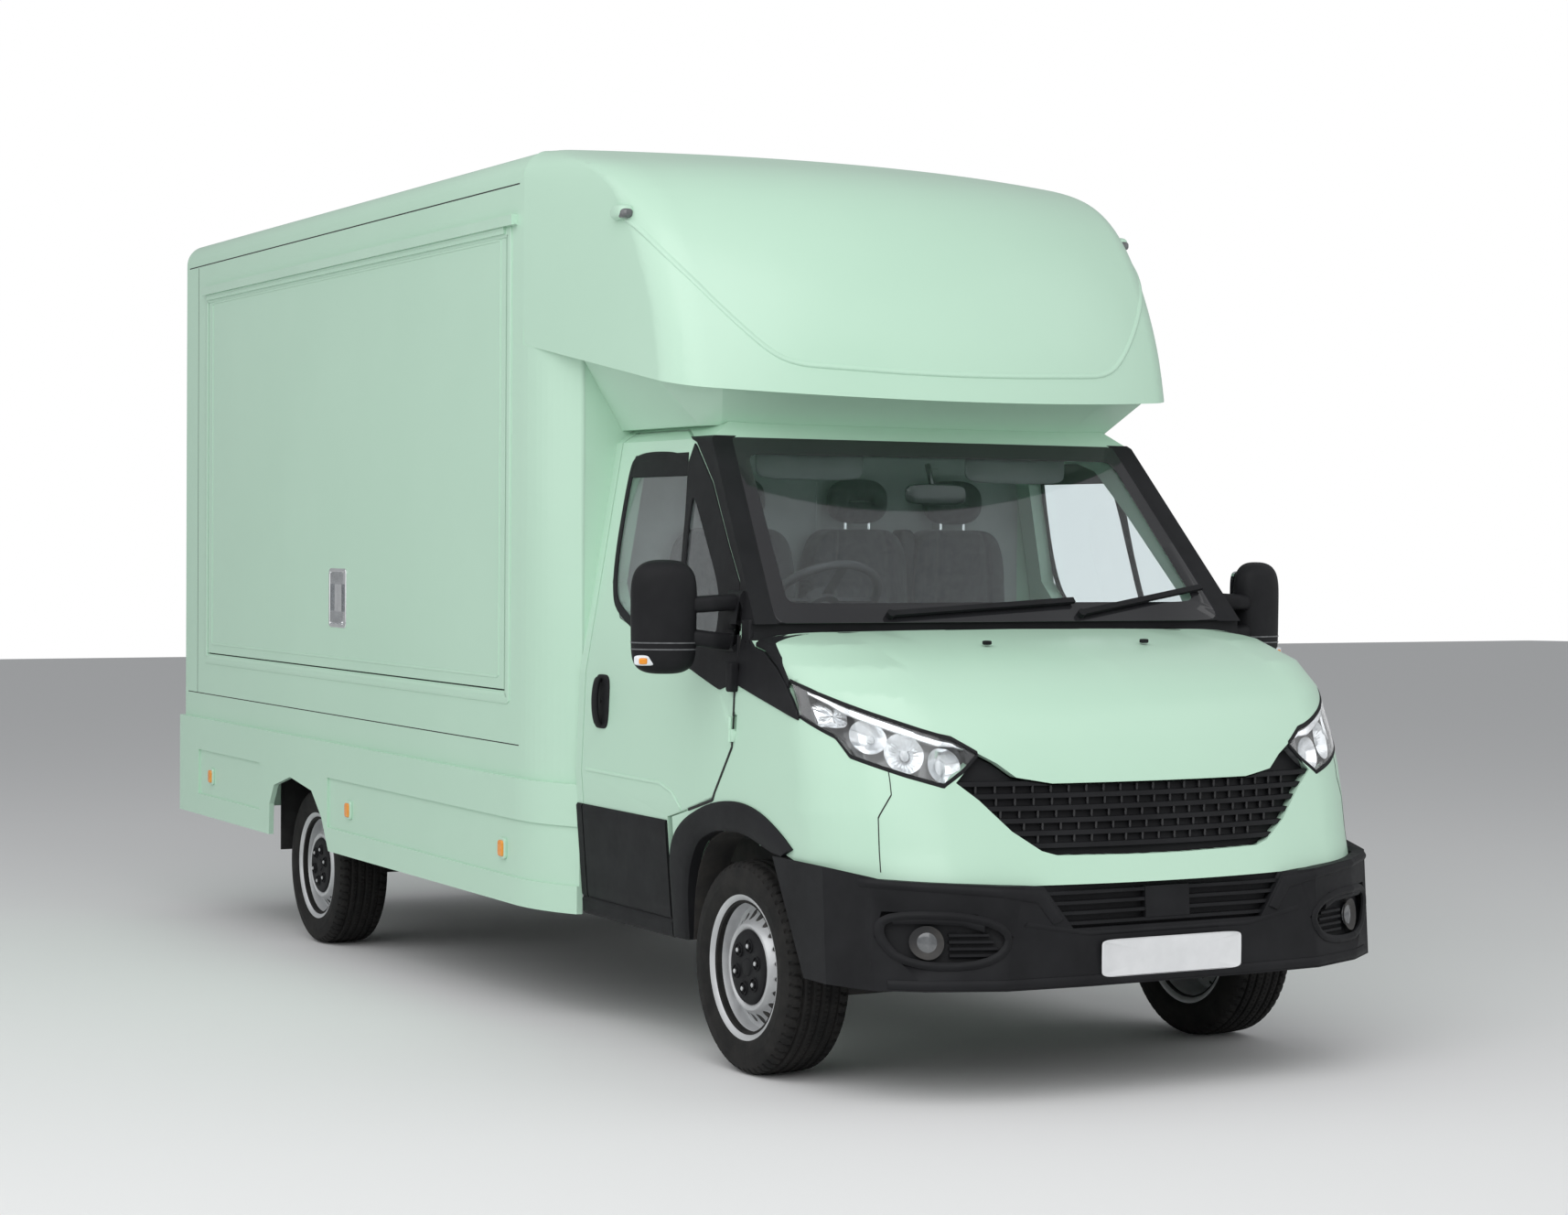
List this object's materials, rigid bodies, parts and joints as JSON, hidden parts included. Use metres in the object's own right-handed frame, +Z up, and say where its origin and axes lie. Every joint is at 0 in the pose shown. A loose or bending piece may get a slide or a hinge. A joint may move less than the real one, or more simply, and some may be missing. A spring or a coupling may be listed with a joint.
{
  "type": "food truck on a light van chassis with a luton box body",
  "caption": "Luton-bodied food truck with a side serving hatch, hinged doors, bonnet and rear door, steering and rolling wheels.",
  "frame": {"origin": "ground plane under the middle of the overall length and width", "axes": "+Z up, the front faces -Y, +X is the vehicle's left"},
  "size_m": [2.5714, 6.7217, 3.2367],
  "materials": {
    "paint": "gloss",
    "black_plastic": "matte",
    "glass": "gloss",
    "lamp": "gloss",
    "tyre": "matte",
    "silver": "satin",
    "cast": "matte",
    "trim": "matte",
    "seat": "matte",
    "chrome": "gloss",
    "lamp_red": "gloss",
    "rubber": "matte",
    "rail": "satin"
  },
  "bodies": {
    "vehicle": {"box_floor": "trim", "box_front": "paint", "box_rear": "paint", "box_roof": "paint", "box_side_left": "paint", "box_side_right": "paint", "cab_shell": "paint", "chassis_frame": "cast", "dashboard": "trim", "drip_rail": "rail", "engine_block": "cast", "front_axle": "cast", "front_bumper": "black_plastic", "front_fascia": "paint", "front_wings": "paint", "fuel_tank": "black_plastic", "grille": "black_plastic", "headlamps": "lamp", "intake_grille": "black_plastic", "luton": "paint", "luton_collar": "paint", "mud_flaps": "rubber", "rear_axle": "cast", "rear_lamps": "lamp_red", "seats": "seat", "skirts": "paint", "steering_wheel": "trim", "windscreen": "glass", "wipers": "black_plastic"},
    "door_left": {"door_left": "paint", "door_glass_left": "glass", "mirror_left": "black_plastic"},
    "door_right": {"door_right": "paint", "door_glass_right": "glass", "mirror_right": "black_plastic"},
    "bonnet": {"bonnet": "paint"},
    "serving_hatch": {"serving_hatch": "paint", "hatch_latch": "chrome"},
    "rear_door": {"rear_door": "paint"},
    "knuckle_left": {"knuckle_left": "cast"},
    "knuckle_right": {"knuckle_right": "cast"},
    "wheel_front_left": {"rim_front_left": "silver", "tyre_front_left": "tyre"},
    "wheel_rear_left": {"rim_rear_left": "silver", "tyre_rear_left": "tyre"},
    "wheel_front_right": {"rim_front_right": "silver", "tyre_front_right": "tyre"},
    "wheel_rear_right": {"rim_rear_right": "silver", "tyre_rear_right": "tyre"}
  },
  "joints": [
    {"name": "spin_front_left", "type": "hinge", "parent": "knuckle_left", "child": "wheel_front_left", "pos_m": [0.866, -2.385, 0.342], "axis": [1, 0, 0], "continuous": true},
    {"name": "spin_rear_left", "type": "hinge", "parent": "vehicle", "child": "wheel_rear_left", "pos_m": [0.866, 1.665, 0.342], "axis": [1, 0, 0], "continuous": true},
    {"name": "steer_left", "type": "hinge", "parent": "vehicle", "child": "knuckle_left", "pos_m": [0.69, -2.385, 0.342], "axis": [0, 0, 1], "range_deg": [-35, 35]},
    {"name": "door_left_hinge", "type": "hinge", "parent": "vehicle", "child": "door_left", "pos_m": [1.003, -2.36789, 1.18845], "axis": [0, 0.0209, -0.9998], "range_deg": [0, 65]},
    {"name": "spin_front_right", "type": "hinge", "parent": "knuckle_right", "child": "wheel_front_right", "pos_m": [-0.866, -2.385, 0.342], "axis": [1, 0, 0], "continuous": true},
    {"name": "spin_rear_right", "type": "hinge", "parent": "vehicle", "child": "wheel_rear_right", "pos_m": [-0.866, 1.665, 0.342], "axis": [1, 0, 0], "continuous": true},
    {"name": "steer_right", "type": "hinge", "parent": "vehicle", "child": "knuckle_right", "pos_m": [-0.69, -2.385, 0.342], "axis": [0, 0, 1], "range_deg": [-35, 35]},
    {"name": "door_right_hinge", "type": "hinge", "parent": "vehicle", "child": "door_right", "pos_m": [-1.003, -2.36789, 1.18845], "axis": [0, -0.0209, 0.9998], "range_deg": [0, 65]},
    {"name": "bonnet_hinge", "type": "hinge", "parent": "vehicle", "child": "bonnet", "pos_m": [0, -2.45206, 1.38673], "axis": [-1, 0, 0], "range_deg": [0, 55]},
    {"name": "hatch_hinge", "type": "hinge", "parent": "vehicle", "child": "serving_hatch", "pos_m": [-1.068, 1.10407, 2.92154], "axis": [0, 0.9998, 0.0209], "range_deg": [0, 90]},
    {"name": "rear_door_hinge", "type": "hinge", "parent": "vehicle", "child": "rear_door", "pos_m": [0.397, 3.28421, 2.007], "axis": [0, 0.0209, -0.9998], "range_deg": [0, 110]}
  ],
  "couplings": [
    {"joint": "steer_left", "follows": "steer_right", "ratio": 1}
  ]
}
